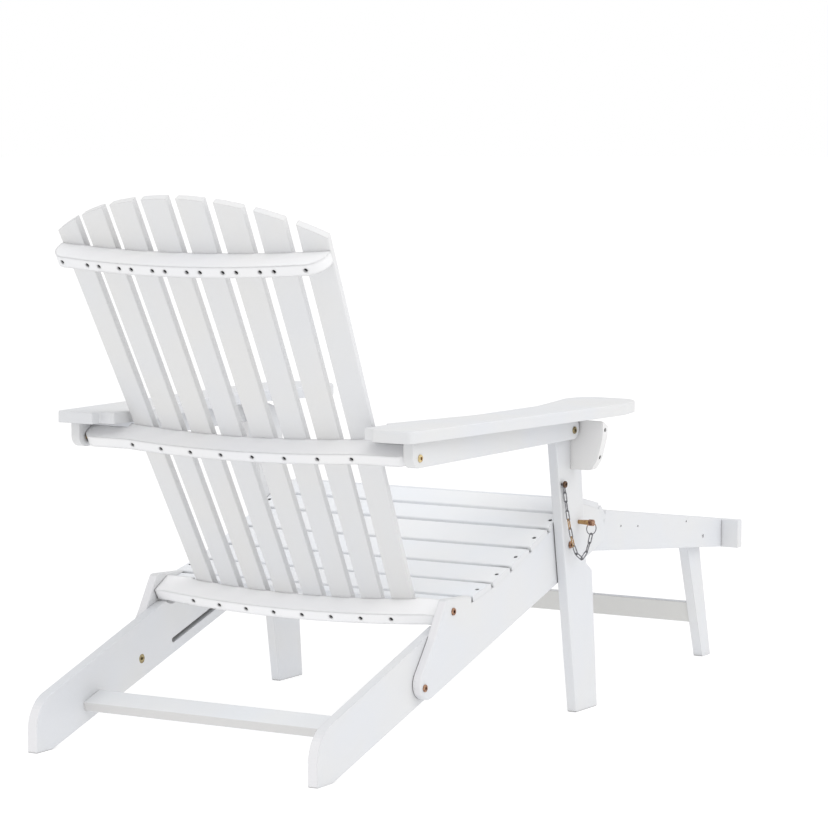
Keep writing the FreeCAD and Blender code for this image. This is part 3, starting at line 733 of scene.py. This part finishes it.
@dataclass
class LockChain:
    """Chain of one side, hanging from the anchor on the leg and up again to the ring of the pin."""

    MARK = "link_tone"

    side: Side
    anchor: tuple[float, float, float] = (324.2, 16.0, 411.7)
    ring: tuple[float, float, float] = (346.1, -46.0, 318.3)
    links: int = 12
    pitch: float = 16.2 * MM
    wire: float = 1.0 * MM
    bow: float = 2.6 * MM
    play: float = 0.22 * MM
    weld_swell: float = 0.18
    weld_shifts: tuple[float, ...] = (0.5, 0.0, -0.5)
    brass_links: tuple[int, ...] = (4, 6)
    bend_steps: int = 10
    wire_steps: int = 10
    hang_steps: int = 2000
    sags: Span = (20.0 * MM, 160.0 * MM)
    halvings: int = 30

    def hang(self, sag: float) -> list[Vector]:
        """Joints one link apart along a hanging line.

        Args:
            sag: Depth of the line below the straight way between its ends, in metres.

        Returns:
            The joints from the anchor on.
        """
        start, end = self.side.point(*self.anchor), self.side.point(*self.ring)
        joints = [start]
        for step in range(1, self.hang_steps + 1):
            t = step / self.hang_steps
            spot = start.lerp(end, t) - Vector((0.0, 0.0, 4.0 * sag * t * (1.0 - t)))
            if (spot - joints[-1]).length >= self.pitch:
                joints.append(spot)
        return joints

    def joints(self) -> list[Vector]:
        """Joints of the whole chain, with the sag that its number of links needs.

        Returns:
            One joint more than there are links.
        """
        shallow, deep = self.sags
        for _ in range(self.halvings):
            sag = (shallow + deep) / 2.0
            if len(self.hang(sag)) > self.links:
                deep = sag
            else:
                shallow = sag
        return self.hang(deep)[:self.links] + [self.side.point(*self.ring)]

    def link_line(self, start: Vector, end: Vector, normal: Vector) -> list[tuple[Vector, Vector]]:
        """Middle line of the wire of one link.

        Args:
            start: Joint with the link before.
            end: Joint with the link after.
            normal: Direction that the open face of the link looks in.

        Returns:
            Points of the line, each with the direction outwards from the link.
        """
        way = (end - start).normalized()
        across = normal.cross(way).normalized()
        reach = self.wire + self.play
        centres = (end + way * (reach - self.bow), start - way * (reach - self.bow))
        line = []
        for centre, turn in zip(centres, (0.0, math.pi)):
            for step in range(self.bend_steps + 1):
                angle = turn + math.pi * step / self.bend_steps
                outward = across * math.cos(angle) + way * math.sin(angle)
                line.append((centre + outward * self.bow, outward))
        return line

    def add_link(self, mesh: bmesh.types.BMesh, line: list[tuple[Vector, Vector]],
                 normal: Vector) -> None:
        """Sweep the wire round one link, with a swelling where it is welded.

        Args:
            mesh: Mesh to add to.
            line: Points from link_line.
            normal: Direction that the open face of the link looks in.
        """
        rounds = []
        middle = line[self.bend_steps][0].lerp(line[self.bend_steps + 1][0], 0.5)
        outward = line[self.bend_steps][1]
        stations = list(line)
        for shift in self.weld_shifts:
            along = (line[self.bend_steps][0] - middle) * shift
            stations.insert(len(stations) - self.bend_steps - 1, (middle + along, outward))
        weld = self.bend_steps + 1 + len(self.weld_shifts) // 2
        for index, (spot, out) in enumerate(stations):
            swell = 1.0 + (self.weld_swell if index == weld else 0.0)
            ring = []
            for step in range(self.wire_steps):
                angle = 2.0 * math.pi * step / self.wire_steps
                offset = out * math.cos(angle) + normal * math.sin(angle)
                ring.append(mesh.verts.new(spot + offset * self.wire * swell))
            rounds.append(ring)
        for ring, following in zip(rounds, rounds[1:] + rounds[:1]):
            for step in range(self.wire_steps):
                after = (step + 1) % self.wire_steps
                mesh.faces.new((ring[step], following[step], following[after], ring[after]))

    def build(self, finishes: Finishes) -> bpy.types.Object:
        """Make the chain, hanging from the anchor on the leg to the ring of the pin.

        Args:
            finishes: All finishes.

        Returns:
            The chain.
        """
        word = self.side.word
        name = "lock_chain_links_" + word
        mesh = bmesh.new()
        joints = self.joints()
        for index, (start, end) in enumerate(zip(joints, joints[1:])):
            way = (end - start).normalized()
            facing = Vector((1.0, 0.0, 0.0))
            facing = (facing - way * facing.dot(way)).normalized()
            normal = way.cross(facing) if index % 2 else facing
            self.add_link(mesh, self.link_line(start, end, normal), normal)
        bmesh.ops.recalc_face_normals(mesh, faces=mesh.faces)
        data = bpy.data.meshes.new(name)
        mesh.to_mesh(data)
        mesh.free()
        per_link = len(data.vertices) // self.links
        tone = data.attributes.new(self.MARK, "FLOAT", "POINT")
        for index in range(len(data.vertices)):
            tone.data[index].value = 1.0 if index // per_link in self.brass_links else 0.0
        data.shade_smooth()
        data.materials.append(finishes.nickel.by_link(finishes.brass))
        chain = bpy.data.objects.new(name, data)
        bpy.context.scene.collection.objects.link(chain)
        self.side.point(*self.anchor)
        self.side.point(*self.ring)
        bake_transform(chain)
        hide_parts("lock_chain_" + word)
        log.info("%s: %d links", chain.name, self.links)
        return chain


@dataclass
class Footrest(SubAssembly):
    """Slatted footrest with its legs, sliding on a wooden axle."""

    slats: int = 7

    def dress(self, finishes: Finishes) -> None:
        """Paint the boards and over the screws, and leave the axle bare.

        Args:
            finishes: All finishes.
        """
        slats = [f"footrest_slat_{i + 1}" for i in range(self.slats)]
        self.dress_nodes(slats + ["footrest_front_board"], finishes.painted(Grain.ACROSS))
        self.dress_nodes(["footrest_stretcher"], finishes.stretcher_paint.on(Grain.ACROSS))
        for side in Side:
            self.dress_nodes(["footrest_rail_" + side.word], finishes.painted(Grain.DOWN_FOOTREST))
            self.dress_nodes(["footrest_leg_" + side.word], finishes.painted(Grain.UP_FOOTREST_LEG))
        self.dress_nodes(["footrest_axle"], finishes.wood.on(Grain.ACROSS))
        self.dress_nodes(["footrest_screws"], finishes.painted(Grain.UPRIGHT))


@dataclass(frozen=True)
class SoftLamp:
    """Large square light that looks at the chair."""

    name: str
    place: tuple[float, float, float]
    power: float
    size: float = 3.5
    target: tuple[float, float, float] = (0.0, 0.0, 0.4)

    def hang(self) -> None:
        """Put the light in its place."""
        lamp = bpy.data.lights.new(self.name, "AREA")
        lamp.size = self.size
        lamp.energy = self.power
        holder = bpy.data.objects.new(self.name, lamp)
        holder.location = self.place
        holder.rotation_euler = aim(self.place, self.target)
        bpy.context.scene.collection.objects.link(holder)


@dataclass
class Studio:
    """Plain pale floor under a white sky that brightens upwards, with large soft lights."""

    floor_radius: float = 40.0
    floor_steps: int = 96
    floor_colour: Colour = (0.25, 0.25, 0.25, 1.0)
    floor_rough: float = 0.9
    floor_glow: float = 0.80
    glow_colour: Colour = (1.0, 1.0, 1.0, 1.0)
    sky_steps: tuple[tuple[float, float], ...] = (
        (0.03, 1.0), (0.06, 0.80), (0.50, 0.84), (1.0, 0.90))
    lamps: tuple[SoftLamp, ...] = (
        SoftLamp("side_light", (-4.2, -1.2, 4.0), 55.0), SoftLamp("top_light", (-1.6, 2.6, 4.8), 52.0))

    def build(self) -> None:
        """Make the floor, the sky and the lights."""
        self.lay_floor()
        self.hang_sky()
        for lamp in self.lamps:
            lamp.hang()
        bpy.context.scene.view_settings.view_transform = "Standard"
        log.info("studio: floor, sky and lights")

    def lay_floor(self) -> None:
        """Round pale floor that ends far away."""
        mesh = bmesh.new()
        bmesh.ops.create_circle(mesh, cap_ends=True, segments=self.floor_steps,
                                radius=self.floor_radius)
        data = bpy.data.meshes.new("floor")
        mesh.to_mesh(data)
        mesh.free()
        wire = Wiring("pale_floor")
        wire.finish(Base_Color=self.floor_colour, Roughness=self.floor_rough,
                    Emission_Color=self.glow_colour, Emission_Strength=self.floor_glow)
        data.materials.append(wire.material)
        floor = bpy.data.objects.new("floor", data)
        bpy.context.scene.collection.objects.link(floor)

    def hang_sky(self) -> None:
        """White light from all round, in steps of brightness by height."""
        world = bpy.data.worlds.new("white_sky")
        world.use_nodes = True
        tree = world.node_tree
        way = tree.nodes.new("ShaderNodeTexCoord")
        split = tree.nodes.new("ShaderNodeSeparateXYZ")
        ramp = tree.nodes.new("ShaderNodeValToRGB")
        stops = ramp.color_ramp.elements
        while len(stops) < len(self.sky_steps):
            stops.new(1.0)
        for stop, (height, light) in zip(stops, self.sky_steps):
            stop.position = height
            stop.color = (light, light, light, 1.0)
        tree.links.new(way.outputs["Generated"], split.inputs[0])
        tree.links.new(split.outputs["Z"], ramp.inputs[0])
        tree.links.new(ramp.outputs[0], tree.nodes["Background"].inputs["Color"])
        bpy.context.scene.world = world


@dataclass
class PhotoCamera:
    """Camera behind and to the right of the chair."""

    place: tuple[float, float, float] = (-3.2071, 5.3240, 1.1239)
    target: tuple[float, float, float] = (0.0281, -0.0662, 0.5086)
    lens: float = 152.17
    sensor: float = 36.0

    def build(self) -> None:
        """Make the camera and let the scene use it."""
        data = bpy.data.cameras.new("photo_camera")
        data.lens = self.lens
        data.sensor_width = self.sensor
        camera = bpy.data.objects.new("photo_camera", data)
        camera.location = self.place
        camera.rotation_euler = aim(self.place, self.target)
        bpy.context.scene.collection.objects.link(camera)
        bpy.context.scene.camera = camera
        log.info("camera: %.0f mm lens", self.lens)


def aim(place: Sequence[float], target: Sequence[float]) -> Euler:
    """Turn of a camera or light that looks from one point at another.

    Args:
        place: Where it stands.
        target: What it looks at.

    Returns:
        Euler angles.
    """
    return (Vector(target) - Vector(place)).to_track_quat("-Z", "Y").to_euler()


def main() -> None:
    """Dress the chair from the seat outwards, then set the studio and the camera."""
    logging.basicConfig(level=logging.INFO, format="%(message)s")
    finishes = Finishes()
    groups: list[SubAssembly] = [SeatFrame(), Back(), Footrest()]
    for side in Side:
        groups += [FrontLeg(side), Arm(side), LockPin(side)]
    for group in groups:
        group.dress(finishes)
    for side in Side:
        LockChain(side).build(finishes)
    Studio().build()
    PhotoCamera().build()


if __name__ == "__main__":
    main()
